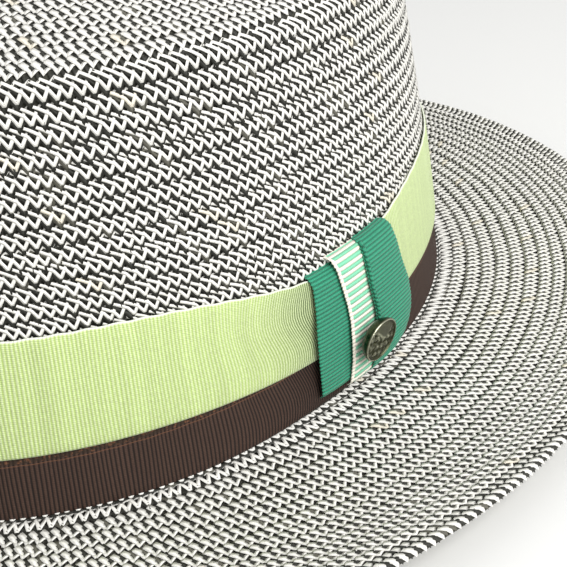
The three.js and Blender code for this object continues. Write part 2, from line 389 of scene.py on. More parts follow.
# Painted shade: the lower ribbon darkened beside the keeper's front strap.
BROWN_PAINTED_SHADE_TINT = (12, 8, 6)
RUST_TINT = (128, 84, 58)
RUST_DARK_TINT = (50, 38, 28)
RUST_LINE_TINT = (128, 86, 62)
TEAL_TINT = (45, 152, 117)
TEAL_GROOVE_SHADE_TINT = (20, 104, 78)
MINT_TINT = (128, 213, 173)
CREAM_TINT = (247, 238, 222)
STRIPE_GROOVE_SHADE_TINT = (60, 120, 90)
BRONZE_TINT = (98, 100, 76)
BRONZE_DARK_TINT = (38, 40, 28)
# Bright bronze on the rim and relief: partly rubbed wear, partly painted highlight.
BRONZE_WORN_AND_HIGHLIGHT_TINT = (214, 214, 190)
FLOOR_TINT = (235, 235, 233)

# Fineness of the grains, as noise scales on metres, and depths of the bumps in metres
YARN_GRAIN = 1800.0
YARN_BUMP = 0.00008
BACKING_GRAIN = 900.0
BACKING_BUMP = 0.0003
GAP_GRAIN = 700.0
RIB_FUZZ = 2600.0
RIB_BUMP = 0.00012
RUST_SPECKS = 1300.0
PATINA_GRAIN = 900.0
PATINA_BUMP = 0.0001
RIB_THREAD = 0.42  # millimetres from one thread across a rib to the next

# Stage, in metres
FLOOR_REACH = 6.0
LAMP_AT = (0.75, -0.25, 0.62)
LAMP_TOWARDS = (0.0, 0.0, 0.05)
LAMP_SIZE = 0.7
CAMERA_LENS = 72.8  # this and the sensor in millimetres
CAMERA_SENSOR = 36.0
CAMERA_NEAR = 0.01
CAMERA_ROUND = math.radians(-62.251)  # direction of the camera from the hat, from +X round to +Y
CAMERA_UP = math.radians(29.244)
CAMERA_ROLL = math.radians(-3.686)
CAMERA_AT = (0.17180, -0.22750, 0.15570)


def column(rows, name):
    """One named column of a table, as an array."""
    return np.array([getattr(row, name) for row in rows], dtype=float)


def unit(vectors):
    """Vectors of length one."""
    return vectors / np.linalg.norm(vectors, axis=-1, keepdims=True)


# ---------------------------------------------------------------- the hat's surfaces


class Profile:
    """A path of radius and height, softened at its corners and measured along itself."""

    def __init__(self, radii, heights, soften):
        """Walks the given corners in even steps and averages each step with its neighbours."""
        radii, heights = np.asarray(radii, float), np.asarray(heights, float)
        walked = np.concatenate([[0], np.cumsum(np.hypot(np.diff(radii), np.diff(heights)))])
        places = np.linspace(0, walked[-1], int(walked[-1] / PROFILE_STEP) + 1)
        reach = int(round(soften / PROFILE_STEP))
        kernel = np.hanning(2 * reach + 3)
        kernel /= kernel.sum()
        pad = reach + 1
        soft = []
        for values in (radii, heights):
            even = np.interp(places, walked, values)
            head = 2 * even[0] - even[pad:0:-1]
            tail = 2 * even[-1] - even[-2 : -pad - 2 : -1]
            soft.append(np.convolve(np.concatenate([head, even, tail]), kernel, "valid"))
        self.radii, self.heights = soft
        steps = np.hypot(np.diff(self.radii), np.diff(self.heights))
        self.along = np.concatenate([[0], np.cumsum(steps)])
        self.length = self.along[-1]

    def at(self, along):
        """Radius and height at a distance along the path, held past its ends."""
        return np.interp(along, self.along, self.radii), np.interp(along, self.along, self.heights)


def wall_inset(height):
    """How far the wall has leaned in: a slope, and a little more with the square of the height."""
    return SIDE_LEAN * height + WALL_ROUND * height**2


def on_plan(radius, angle, z):
    """x is (radius + fuller back) times cosine, y is (radius + draw-out) times sine."""
    sine = np.sin(angle)
    fuller = FULLER_BACK * sine * np.minimum(1, radius / BASE_RADIUS)
    drawn = DRAW_OUT * np.tanh(radius / DRAW_OUT_FADES)
    return np.stack([(radius + fuller) * np.cos(angle), (radius + drawn) * sine, z], axis=-1)


def brim_rise(radius, angle):
    """The brim lifts with the square of the distance past its flat ring, most at the front."""
    share = np.clip((radius - BASE_RADIUS - FLAT_RING) / (BRIM_WIDTH - FLAT_RING), 0, None) ** 2
    middle, tilt = (RISE_FRONT + RISE_BACK) / 2, (RISE_FRONT - RISE_BACK) / 2
    return (middle - tilt * np.sin(angle)) * share


class CrownSurface:
    """The crown's outer face, from its foot up the wall and in over the top to the middle."""

    def __init__(self):
        """Follows the wall up, then the sections of the top."""
        wall = np.linspace(GAP, WALL_TOP, ARC_POINTS)
        top_radius = BASE_RADIUS - wall_inset(WALL_TOP)
        radii = np.concatenate([BASE_RADIUS - wall_inset(wall), top_radius - column(TOP_SECTIONS, "inward")])
        heights = np.concatenate([wall, column(TOP_SECTIONS, "height")])
        self.profile = Profile(radii, heights, soften=CROWN_SOFTENED)

    def point(self, along, angle):
        """The profile carried round the plan, leaning in more at the front and back."""
        radius, height = self.profile.at(along)
        ends = END_LEAN * np.clip(height, 0, WALL_TOP) * np.sin(angle) ** 2
        radius = radius - ends * np.minimum(1, radius / BASE_RADIUS)
        return on_plan(radius, angle, BRIM_THICKNESS + height)


class BrimSurface:
    """The brim's face, from under its edge round the roll and in over the top to the crown."""

    def __init__(self):
        """Part of a circle for the rolled edge, then straight in."""
        turn = np.radians(np.linspace(*EDGE_TURNS, ARC_POINTS))
        middle = BASE_RADIUS + BRIM_WIDTH - EDGE_RADIUS
        centre_z = BRIM_THICKNESS / 2 + EDGE_RAISED
        inwards = [middle - EDGE_BLENDS, BASE_RADIUS - WALL]
        radii = np.concatenate([middle + EDGE_RADIUS * np.cos(turn), inwards])
        heights = np.concatenate([centre_z + EDGE_RADIUS * np.sin(turn), [BRIM_THICKNESS, BRIM_THICKNESS]])
        self.profile = Profile(radii, heights, soften=BRIM_SOFTENED)

    def point(self, along, angle):
        """The profile carried round the plan and lifted by the brim's rise."""
        radius, height = self.profile.at(along)
        return on_plan(radius, angle, height + brim_rise(radius, angle))


def placed(surface, along, angle, lift):
    """Points a lift above a surface, and its outward normals there: round the hat crossed with up."""
    along, angle, lift = np.broadcast_arrays(along, angle, lift)
    step, turn = 0.1, 0.002
    up = surface.point(along + step, angle) - surface.point(along - step, angle)
    round_it = surface.point(along, angle + turn) - surface.point(along, angle - turn)
    normal = unit(np.cross(round_it, up))
    return surface.point(along, angle) + normal * lift[..., None], normal


def along_at_height(surface, height):
    """Distance up the crown's profile at a height on its wall."""
    climbing = np.argmax(surface.profile.heights > WALL_TOP)
    return np.interp(height, surface.profile.heights[:climbing], surface.profile.along[:climbing])


def walked_length(points):
    """Distance walked from the first point to each, in straight steps."""
    return np.concatenate([[0], np.cumsum(np.linalg.norm(np.diff(points, axis=0), axis=1))])


def even_angles(surface, along, shares):
    """Angles at even shares of the way round a ring of the surface, from the keeper round."""
    angle = PINCH_AT + np.linspace(0, 2 * np.pi, RING_POINTS)
    length = walked_length(surface.point(np.full_like(angle, along), angle))
    laps = np.floor(shares)
    return np.interp((shares - laps) * length[-1], length, angle) + 2 * np.pi * laps


def ring_length(surface, along):
    """Length once round the surface at a distance along its profile."""
    angle = np.linspace(0, 2 * np.pi, RING_POINTS)
    return walked_length(surface.point(np.full_like(angle, along), angle))[-1]


CROWN = CrownSurface()
BRIM = BrimSurface()


def angle_at(distance):
    """The angle at a distance round the foot of the crown, from the wearer's left."""
    angle = np.radians(np.linspace(-SIDE_REACH, SIDE_REACH, SIDE_POINTS))
    length = walked_length(CROWN.point(np.zeros_like(angle), angle))
    length -= np.interp(0, angle, length)
    return np.interp(distance, length, angle)


# ---------------------------------------------------------------- meshes


def grid_faces(rows, columns, close_rows=False, close_columns=True):
    """Quads of a grid of points, with each corner's row and column counted on past a seam."""
    row = np.arange(rows if close_rows else rows - 1)
    col = np.arange(columns if close_columns else columns - 1)
    row, col = np.meshgrid(row, col, indexing="ij")
    corners = [(row, col), (row, col + 1), (row + 1, col + 1), (row + 1, col)]
    index = np.stack([(r % rows) * columns + c % columns for r, c in corners], axis=-1)
    place = np.stack([np.stack([r, c], axis=-1) for r, c in corners], axis=-2)
    return index.reshape(-1, 4), place.reshape(-1, 4, 2).astype(float)


def end_caps(rings, sides):
    """The faces that close the first and the last ring of a tube of points."""
    ring = np.arange(sides)
    return [ring[::-1], (rings - 1) * sides + ring]


def make_mesh(name, points, quads, caps=(), uv=None, marks=None):
    """A mesh of quads and caps from arrays in millimetres, with a UV map and named point values."""
    mesh = bpy.data.meshes.new(name)
    points = np.ascontiguousarray(points.reshape(-1, 3) * MM, dtype=np.float32)
    loops = np.concatenate([quads.ravel(), *[np.ravel(cap) for cap in caps]]).astype(np.int32)
    totals = np.concatenate([np.full(len(quads), 4), [len(cap) for cap in caps]]).astype(np.int32)
    starts = np.concatenate([[0], np.cumsum(totals)[:-1]]).astype(np.int32)
    mesh.vertices.add(len(points))
    mesh.vertices.foreach_set("co", points.ravel())
    mesh.loops.add(len(loops))
    mesh.loops.foreach_set("vertex_index", loops)
    mesh.polygons.add(len(totals))
    mesh.polygons.foreach_set("loop_start", starts)
    mesh.polygons.foreach_set("loop_total", totals)
    mesh.update(calc_edges=True)
    if uv is not None:
        layer = mesh.uv_layers.new(name="UVMap")
        values = np.zeros((len(loops), 2), dtype=np.float32)
        values[: quads.size] = uv.reshape(-1, 2)
        layer.uv.foreach_set("vector", values.ravel())
    for mark, values in (marks or {}).items():
        layer = mesh.attributes.new(mark, "FLOAT", "POINT")
        layer.data.foreach_set("value", np.asarray(values, dtype=np.float32).ravel())
    mesh.shade_smooth()
    return mesh


def add_piece(name, mesh, material, replaces=()):
    """Puts a finished mesh in the scene at the origin, riding on the hat."""
    piece = bpy.data.objects.new(name, mesh)
    bpy.context.scene.collection.objects.link(piece)
    mesh.materials.append(material)
    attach(piece, "root")
    if replaces:
        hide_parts(*replaces)
    return piece


def strand_rings(centres, normals, yarn, wide):
    """Tubes: at each point the tangent halves the turn, the side is the tangent crossed
    with the wall's normal, and corners stand round it on an oval. The oval is stretched
    sideways by one over the cosine of half the turn, so a strand keeps its width where it folds."""
    after = np.roll(centres, -STRANDS, axis=0)[:, :1]
    before = np.roll(centres, STRANDS, axis=0)[:, -1:]
    ways = unit(np.diff(np.concatenate([before, centres, after], axis=1), axis=1))
    tangent = unit(ways[:, 1:] + ways[:, :-1])
    half_turn = np.sum(tangent * ways[:, 1:], axis=-1)
    mitre = 1 / np.clip(half_turn, 1 / MITRE_LIMIT, 1)[:, :, None, None]
    side = unit(np.cross(tangent, normals))
    rise = np.cross(side, tangent)
    turn = np.radians(CORNERS_AT)
    half_width = mitre * yarn.half_width * wide[None, :, None, None]
    across = half_width * np.cos(turn)[:, None] * side[:, :, None]
    return centres[:, :, None] + across + yarn.half_height * np.sin(turn)[:, None] * rise[:, :, None]


def strand_faces(units, points):
    """Quads along each strand. The last ring of a unit leads to the first ring of the unit where
    its strand comes back to its way."""
    ring = np.arange(units * points).reshape(units, points)
    following = np.concatenate([ring[:, 1:], np.roll(ring[:, 0], -STRANDS)[:, None]], axis=1)
    corner = np.arange(len(CORNERS_AT))
    following_corner = np.roll(corner, -1)
    here, there = ring[..., None] * len(corner), following[..., None] * len(corner)
    quads = here + corner, there + corner, there + following_corner, here + following_corner
    return np.stack(quads, axis=-1).reshape(-1, 4)


def braid_mesh(name, surface, rows, repeat, way, yarn, rng):
    """All the strands of one colour on some rows. A row is (upper edge, width) along the profile.
    Each strand strays a little by itself, and each row wavers slowly by a sum of sines."""
    along_way, down_way, lift_way, wide_way = (column(way, field) for field in StrandPoint._fields)
    points, quads, tones, count = [], [], [], 0
    for upper, width in rows:
        units = max(FEWEST_REPEATS, int(round(ring_length(surface, upper - width / 2) / repeat)))
        stray = rng.normal(size=(units, 3))
        number = np.arange(units)[:, None] + rng.uniform(0, 1)
        turn = 2 * np.pi * number / units
        waver = sum(np.sin(wave * turn + rng.uniform(0, WAVER_START)) for wave in WAVER_COUNTS)
        shares = (number + STRAY_ALONG * stray[:, :1] + along_way) / units
        down = down_way + STRAY_DOWN * stray[:, 1:2] + WAVER_DOWN * waver
        lift = lift_way + STRAY_LIFT * stray[:, 2:3]
        angle = even_angles(surface, upper - width / 2, shares)
        centres, normals = placed(surface, upper - down * width, angle, lift)
        points.append(strand_rings(centres, normals, yarn, wide_way).reshape(-1, 3))
        quads.append(strand_faces(units, len(way)) + count)
        tones.append(np.repeat(rng.uniform(0, 1, units), len(way) * len(CORNERS_AT)))
        count += units * len(way) * len(CORNERS_AT)
    marks = {"tone": np.concatenate(tones)}
    return make_mesh(name, np.concatenate(points), np.concatenate(quads), marks=marks)


def row_width(table, place):
    """The width of a row of braid at a place, read between a table's rows."""
    return float(np.interp(place, column(table, "place"), column(table, "width")))


def wall_rows():
    """Rows on the crown's wall, from the shoulder down to behind the ribbons."""
    upper = along_at_height(CROWN, WALL_TOP) + SHOULDER_ROW
    rows = []
    while CROWN.profile.at(upper)[1] > BRAIDED_FROM:
        width = row_width(WALL_ROWS, CROWN.profile.at(upper)[1])
        rows.append((upper, width))
        upper -= width
    return rows


def top_rows():
    """Rows from the shoulder inwards, of a width that brings the last one to the middle of the top."""
    start = along_at_height(CROWN, WALL_TOP) + SHOULDER_ROW
    reach = CROWN.profile.length - TOP_EYE - start
    count = int(round(reach / TOP_ROW))
    width = reach / count
    return [(start + width * (number + 1), width) for number in range(count)]


def brim_rows():
    """Rows from behind the ribbons outwards; the last one rolls over the edge."""
    radius = BRIM_ROWS[0].place
    inner = BRIM.profile.length - (radius - (BASE_RADIUS - WALL))
    rows = []
    while radius < BASE_RADIUS + BRIM_WIDTH - LAST_ROW:
        width = row_width(BRIM_ROWS, radius)
        rows.append((inner, width))
        inner -= width
        radius += width
    return rows


def row_relief(along, rows):
    """How high the shell swells under the strands: half a sine across each row."""
    edges = np.array(sorted({upper for upper, _ in rows} | {upper - width for upper, width in rows}))
    spot = np.clip(np.searchsorted(edges, along, side="right") - 1, 0, len(edges) - 2)
    share = np.clip((along - edges[spot]) / (edges[spot + 1] - edges[spot]), 0, 1)
    return ROW_RELIEF * np.sin(np.pi * share)


def shell_stations(rows, low, high, plain_step):
    """Places along a profile: edges and middles of the rows, and even steps where there are none."""
    row_places = sorted({upper for upper, _ in rows} | {upper - width / 2 for upper, width in rows})
    row_places = [place for place in row_places if low < place < high]
    first = row_places[0]
    plain = list(np.linspace(low, first, max(2, int((first - low) / plain_step)), endpoint=False))
    return np.array(plain + row_places + [high])


# ---------------------------------------------------------------- materials


def socket_set(node, **values):
    """Sets a node's inputs by name, where an underscore stands for a space."""
    for name, value in values.items():
        node.inputs[name.replace("_", " ")].default_value = value


class Tree:
    """A short way to add and join nodes."""

    def __init__(self, tree):
        """Keeps the node tree it works in."""
        self.tree = tree

    def node(self, kind, **settings):
        """A new node with its settings."""
        made = self.tree.nodes.new(kind)
        for name, value in settings.items():
            setattr(made, name, value)
        return made

    def join(self, output, target):
        """A link, or a constant where the output is a number."""
        if isinstance(output, (int, float)):
            target.default_value = output
        else:
            self.tree.links.new(output, target)

    def math(self, operation, a, b=0.0, c=0.0):
        """A Math node's value."""
        made = self.node("ShaderNodeMath", operation=operation)
        for place, value in enumerate((a, b, c)):
            self.join(value, made.inputs[place])
        return made.outputs[0]

    def mix(self, factor, a, b):
        """A colour between two, by a factor."""
        made = self.node("ShaderNodeMix", data_type="RGBA")
        self.join(factor, made.inputs[0])
        for value, target in ((a, made.inputs[6]), (b, made.inputs[7])):
            if isinstance(value, tuple):
                target.default_value = (*value, 1)
            else:
                self.join(value, target)
        return made.outputs[2]

    def ramp(self, value, low, high, out_low=0.0, out_high=1.0):
        """A value mapped from one range to another and held inside it."""
        made = self.node("ShaderNodeMapRange", clamp=True)
        for place, number in enumerate((value, low, high, out_low, out_high)):
            self.join(number, made.inputs[place])
        return made.outputs[0]

    def noise(self, vector, scale, detail=2.0):
        """Smooth noise from 0 to 1."""
        made = self.node("ShaderNodeTexNoise")
        self.join(vector, made.inputs["Vector"])
        socket_set(made, Scale=scale, Detail=detail)
        return made.outputs["Fac"]

    def mark(self, name):
        """A mesh's named value."""
        return self.node("ShaderNodeAttribute", attribute_name=name).outputs["Fac"]

    def uv(self):
        """The two UV coordinates."""
        parts = self.node("ShaderNodeSeparateXYZ")
        self.join(self.node("ShaderNodeUVMap", uv_map="UVMap").outputs[0], parts.inputs[0])
        return parts.outputs[0], parts.outputs[1]

    def shade(self, colour, factor):
        """A colour made darker or lighter by a factor."""
        made = self.node("ShaderNodeVectorMath", operation="SCALE")
        self.join(colour, made.inputs[0])
        self.join(factor, made.inputs["Scale"])
        return made.outputs[0]

    def object_place(self):
        """Object coordinates in metres."""
        return self.node("ShaderNodeTexCoord").outputs["Object"]

    def bump(self, height, distance):
        """A normal from a height, where one stands for a distance in metres."""
        made = self.node("ShaderNodeBump")
        socket_set(made, Distance=distance, Strength=1.0)
        self.join(height, made.inputs["Height"])
        return made.outputs[0]


def linear(red, green, blue):
    """A colour from 0 to 255 as linear light, by the sRGB curve: a straight line near black, and
    above it (share + 0.055) / 1.055 to the power 2.4."""
    channels = np.array((red, green, blue)) / 255.0
    low, high = channels / 12.92, ((channels + 0.055) / 1.055) ** 2.4
    return tuple(float(c) for c in np.where(channels <= 0.04045, low, high))


def new_group(name, inputs, outputs):
    """A shader node group with named sockets, and the tree and ends to fill it with."""
    group = bpy.data.node_groups.new(name, "ShaderNodeTree")
    for label, kind, default in inputs:
        made = group.interface.new_socket(label, in_out="INPUT", socket_type=kind)
        made.default_value = default
    for label, kind in outputs:
        group.interface.new_socket(label, in_out="OUTPUT", socket_type=kind)
    tree = Tree(group)
    return group, tree, tree.node("NodeGroupInput"), tree.node("NodeGroupOutput")


def yarn_group():
    """Paper yarn: strands differ a little in tone, and a fine grain runs over them."""
    group, tree, given, out = new_group(
        "yarn",
        [
            ("Colour", "NodeSocketColor", (0.8, 0.8, 0.8, 1)),
            ("Odd Colour", "NodeSocketColor", (0.7, 0.6, 0.5, 1)),
            ("Odd Share", "NodeSocketFloat", 0.1),
            ("Spread", "NodeSocketFloat", 0.1),
        ],
        [("Colour", "NodeSocketColor"), ("Height", "NodeSocketFloat")],
    )
    tone = tree.mark("tone")
    grain = tree.noise(tree.object_place(), YARN_GRAIN, 3.0)
    light = tree.math("SUBTRACT", 1.0, tree.math("MULTIPLY", tone, given.outputs["Spread"]))
    light = tree.math("MULTIPLY", light, tree.ramp(grain, 0.3, 0.7, 0.9, 1.03))
    odd = tree.math("GREATER_THAN", given.outputs["Odd Share"], tone)
    colour = tree.mix(odd, given.outputs["Colour"], given.outputs["Odd Colour"])
    tree.join(tree.shade(colour, light), out.inputs["Colour"])
    tree.join(grain, out.inputs["Height"])
    return group


def ribs_group():
    """Grosgrain: U counts ribs, V is millimetres along a rib. Grooves are darkened with painted shade, and
    fine threads cross each rib."""
    group, tree, given, out = new_group(
        "ribs",
        [
            ("Crest", "NodeSocketColor", (0.8, 0.8, 0.8, 1)),
            ("Groove", "NodeSocketColor", (0.4, 0.4, 0.4, 1)),
            ("Groove Width", "NodeSocketFloat", 0.4),
        ],
        [
            ("Colour", "NodeSocketColor"),
            ("Height", "NodeSocketFloat"),
            ("Groove", "NodeSocketFloat"),
        ],
    )
    across, along = tree.uv()
    turned = tree.math("MULTIPLY", across, 2 * math.pi)
    crest = tree.math("MULTIPLY_ADD", tree.math("COSINE", turned), 0.5, 0.5)
    groove = tree.math("SUBTRACT", 1.0, tree.ramp(crest, 0.0, given.outputs["Groove Width"]))
    threads = tree.math("SINE", tree.math("MULTIPLY", along, 2 * math.pi / RIB_THREAD))
    per_rib = tree.node("ShaderNodeTexWhiteNoise", noise_dimensions="1D")
    tree.join(tree.math("ROUND", across), per_rib.inputs["W"])
    tint = tree.math("MULTIPLY_ADD", per_rib.outputs["Value"], 0.10, 0.92)
    fuzz = tree.ramp(tree.noise(tree.object_place(), RIB_FUZZ, 3.0), 0.3, 0.7, 0.86, 1.12)
    speckle = tree.math("MULTIPLY", tree.math("MULTIPLY_ADD", threads, 0.15, 1.0), fuzz)
    # Painted shade: the grooves between the ribs are darkened.
    colour = tree.mix(groove, given.outputs["Crest"], given.outputs["Groove"])
    tree.join(tree.shade(colour, tree.math("MULTIPLY", tint, speckle)), out.inputs["Colour"])
    tree.join(tree.math("MULTIPLY_ADD", threads, 0.12, crest), out.inputs["Height"])
    tree.join(groove, out.inputs["Groove"])
    return group


def group_node(tree, name, **values):
    """A group placed in a material with its own values. Each group is built once."""
    makers = {"yarn": yarn_group, "ribs": ribs_group}
    made = tree.node("ShaderNodeGroup")
    made.node_tree = bpy.data.node_groups.get(name) or makers[name]()
    for label, value in values.items():
        target = made.inputs[label.replace("_", " ")]
        target.default_value = (*value, 1) if isinstance(value, tuple) else value
    return made


def new_material(name, roughness, metallic=0.0, specular=0.4, sheen=0.0):
    """A material with one Principled shader, and its tree."""
    material = bpy.data.materials.new(name)
    material.use_nodes = True
    shader = material.node_tree.nodes["Principled BSDF"]
    socket_set(shader, Roughness=roughness, Metallic=metallic, Sheen_Weight=sheen)
    shader.inputs["Specular IOR Level"].default_value = specular
    return material, Tree(material.node_tree), shader


def yarn_material(name, colour, odd_colour, odd_share, spread, roughness):
    """Yarn of one colour, with a few odd strands."""
    material, tree, shader = new_material(name, roughness, specular=0.35)
    yarn = group_node(
        tree, "yarn", Colour=colour, Odd_Colour=odd_colour, Odd_Share=odd_share, Spread=spread
    )
    tree.join(yarn.outputs["Colour"], shader.inputs["Base Color"])
    tree.join(tree.bump(yarn.outputs["Height"], YARN_BUMP), shader.inputs["Normal"])
    return material


def backing_material():
    """The back of the braid: charcoal and white plaits crossing in rows, by UV."""
    material, tree, shader = new_material("braid_backing", 0.8, specular=0.25)
    across, along = tree.uv()
    lean = tree.math("PINGPONG", along, 1.0)
    wave = tree.math("FRACT", tree.math("ADD", across, tree.math("MULTIPLY", lean, 0.6)))
    plait = tree.ramp(tree.math("PINGPONG", wave, 0.5), 0.16, 0.24)
    grain = tree.noise(tree.object_place(), BACKING_GRAIN)
    colour = tree.mix(plait, linear(*DARK_TINT), linear(*BACKING_TINT))
    colour = tree.mix(tree.ramp(grain, 0.3, 0.7, 0.0, 0.35), colour, linear(*BACKING_GREY_TINT))
    tree.join(colour, shader.inputs["Base Color"])
    tree.join(tree.bump(plait, BACKING_BUMP), shader.inputs["Normal"])
    return material


def gap_shade_material():
    """What shows between the strands: painted shade, a dark colour for the shaded inside of the plait."""
    material, tree, shader = new_material("braid_gap_shade", 0.9, specular=0.2)
    grain = tree.noise(tree.object_place(), GAP_GRAIN)
    tree.join(tree.mix(grain, linear(*GAP_DEEP_SHADE_TINT), linear(*GAP_SHADE_TINT)), shader.inputs["Base Color"])
    return material


def ribbon_material(
    name, crest, groove, edge=None, edge_at=0.0, seam_at=None, painted_shade_tint=None, sheen=0.3, roughness=0.7
):
    """Grosgrain with ribs across the ribbon, and an edge of another colour past a place on it. Above a seam
    are crossed threads, and a line of rust thread runs along it. Beside the keeper, painted shade darkens
    the grooves most and the whole face a little, by a value on the mesh."""
    material, tree, shader = new_material(name, roughness, specular=0.3, sheen=sheen)
    ribs = group_node(tree, "ribs", Crest=crest, Groove=groove, Groove_Width=0.75)
    colour = ribs.outputs["Colour"]
    # Painted shade beside the keeper: the grooves darkened most, and the whole face a little.
    if painted_shade_tint is not None:
        painted_groove_shade = tree.math("MULTIPLY", tree.mark("painted_shade"), ribs.outputs["Groove"])
        painted_shade_share = tree.math("MULTIPLY_ADD", tree.mark("painted_shade"), 0.1, tree.math("MULTIPLY", painted_groove_shade, 0.9))
        colour = tree.mix(painted_shade_share, colour, painted_shade_tint)
    if edge is not None:
        _, along = tree.uv()
        beyond = tree.ramp(along, edge_at, edge_at + LIME_EDGE_FADES)
        colour = tree.mix(beyond, colour, edge)
    if seam_at is not None:
        _, along = tree.uv()
        specks = tree.ramp(tree.noise(tree.object_place(), RUST_SPECKS, 3.0), 0.53, 0.65)
        thread = tree.mix(specks, linear(*RUST_DARK_TINT), linear(*RUST_TINT))
        above = tree.math("GREATER_THAN", along, seam_at + SEAM_CROSSED_FROM)
        colour = tree.mix(tree.math("MULTIPLY", above, 0.7), colour, thread)
        line = tree.math("COMPARE", along, seam_at, SEAM_HALF_WIDTH)
        colour = tree.mix(tree.math("MULTIPLY", line, 0.5), colour, linear(*RUST_LINE_TINT))
    tree.join(colour, shader.inputs["Base Color"])
    tree.join(tree.bump(ribs.outputs["Height"], RIB_BUMP), shader.inputs["Normal"])
    return material


def striped_material(cream, mint, groove):
    """Ribs that are cream and mint by turns, between cream edges, with painted shade in the grooves. U
    counts ribs.
    """
    material, tree, shader = new_material("striped_ribbon", 0.65, specular=0.3, sheen=0.3)
    across, along = tree.uv()
    turned = tree.math("MULTIPLY", across, math.pi)
    stripe = tree.ramp(tree.math("COSINE", turned), -0.25, 0.25)
    ribs = group_node(tree, "ribs", Crest=(0.8, 0.8, 0.8), Groove=groove, Groove_Width=0.3)
    colour = tree.mix(stripe, mint, cream)
    edge = tree.ramp(along, *STRIPES_FROM)
    colour = tree.mix(edge, cream, colour)
    # Painted shade in the grooves between the striped ribs.
    crest = tree.math("MULTIPLY_ADD", tree.math("COSINE", tree.math("MULTIPLY", turned, 2)), 0.5, 0.5)
    shade = tree.math("MULTIPLY", edge, tree.math("SUBTRACT", 1.0, tree.ramp(crest, 0.0, 0.4)))
    colour = tree.mix(tree.math("MULTIPLY", shade, 0.55), colour, groove)
    tree.join(colour, shader.inputs["Base Color"])
    tree.join(tree.bump(ribs.outputs["Height"], RIB_BUMP), shader.inputs["Normal"])
    return material


def bronze_material():
    """Dark bronze mottled darker by a patina noise, and made bright on its rim and relief by a value on the
    mesh: partly rubbed wear, partly painted highlight.
    """
    material, tree, shader = new_material("bronze", 0.3, metallic=1.0)
    patina = tree.noise(tree.object_place(), PATINA_GRAIN, 4.0)
    dark = tree.mix(patina, linear(*BRONZE_DARK_TINT), linear(*BRONZE_TINT))
    colour = tree.mix(tree.mark("worn_and_highlight"), dark, linear(*BRONZE_WORN_AND_HIGHLIGHT_TINT))
    tree.join(colour, shader.inputs["Base Color"])
    tree.join(tree.ramp(patina, 0.3, 0.7, 0.24, 0.42), shader.inputs["Roughness"])
    tree.join(tree.bump(patina, PATINA_BUMP), shader.inputs["Normal"])
    return material


# ---------------------------------------------------------------- user settings


def tint_property(label, about, colour):
    """A colour a user can change."""
    return FloatVectorProperty(
        name=label, description=about, subtype="COLOR", size=3, min=0, max=1, default=linear(*colour)
    )


class HatBraid(bpy.types.PropertyGroup):
    """Colours of the braid and thickness of its yarn."""

    white: tint_property("White yarn", "Colour of the pale strands", PALE_TINT)
    charcoal: tint_property("Dark yarn", "Colour of the dark strands", DARK_TINT)
    fullness: FloatProperty(
        name="Fullness", description="Thickness of the yarn as a share of the usual", default=1.0, min=0.2
    )


class HatRibbons(bpy.types.PropertyGroup):
    """Colours of the ribbons."""

    lime: tint_property("Upper ribbon", "Colour of the ribs of the upper ribbon", LIME_TINT)
    brown: tint_property("Lower ribbon", "Colour of the ribs of the lower ribbon", BROWN_TINT)


class HatKeeper(bpy.types.PropertyGroup):
    """Colours and rib of the keeper."""

    teal: tint_property("Straps", "Colour of the plain straps", TEAL_TINT)
    mint: tint_property("Stripes", "Colour of the darker stripes", MINT_TINT)
    cream: tint_property("Stripe ground", "Colour of the pale stripes and edges", CREAM_TINT)
    rib: FloatProperty(
        name="Rib", description="Width of a strap's rib", default=STRAP_RIB * MM, min=0.0002, unit="LENGTH"
    )


class HatStage(bpy.types.PropertyGroup):
    """Light and floor."""

    floor: tint_property("Floor", "Colour of the floor", FLOOR_TINT)
    sky: FloatProperty(name="Sky", description="Strength of the light from all round", default=0.68, min=0)
    lamp: FloatProperty(
        name="Lamp", description="Power of the lamp overhead", default=8.8, min=0, unit="POWER"
    )


# ---------------------------------------------------------------- operators


def shell_piece(name, points, quads, place, caps, backed, backing, node):
    """Adds a shell. Its faces that are backed show the back of the braid, where backing gives how often the
    plaits repeat round and along, and the others the painted shade of the gaps between the strands."""
    sides = points.shape[1]
    uv = place[..., ::-1] * (backing[0] / sides, backing[1])
    mesh = make_mesh(name, points, quads, caps, uv=uv)
    add_piece(name, mesh, gap_shade_material(), [node])
    mesh.materials.append(backing_material())
    mesh.polygons.foreach_set("material_index", backed.astype(np.int32))


class HAT_OT_crown(bpy.types.Operator):
    """Adds the crown: a shell, and the strands sewn on it"""

    bl_idname = "hat.crown"
    bl_label = "Crown"

    def execute(self, context):
        """Builds the shell from the middle of its inside out over its foot to the middle of its top,
        then the rows on its side and on its top."""
        look = context.scene.hat_braid
        sides, tops = wall_rows(), top_rows()
        rows = sides + tops
        middle = CROWN.profile.length - CROWN_EYE
        outer = shell_stations(rows, 0.0, middle, CROWN_PLAIN_STEP)
        inner = np.linspace(middle, 0.0, CROWN_INNER_RINGS)
        stations = np.concatenate([inner, outer])
        offs = np.concatenate([np.full(len(inner), -WALL), row_relief(outer, rows) - CROWN_SUNK])
        angles = even_angles(CROWN, 0.0, np.linspace(0, 1, CROWN_COLUMNS, endpoint=False))
        points, _ = placed(CROWN, stations[:, None], angles[None, :], offs[:, None])
        quads, place = grid_faces(len(stations), CROWN_COLUMNS)
        caps = end_caps(len(stations), CROWN_COLUMNS)
        inside = np.repeat(np.arange(len(stations) - 1) < len(inner), CROWN_COLUMNS)
        backed = np.concatenate([inside, [True, False]])
        shell_piece(
            "crown_shell", points, quads, place, caps, backed, CROWN_BACKING, "crown"
        )
        add_strands("crown_side", CROWN, sides, WALL_WEAVE, look)
        add_strands("crown_top", CROWN, tops, FLAT_WEAVE, look)
        return {"FINISHED"}


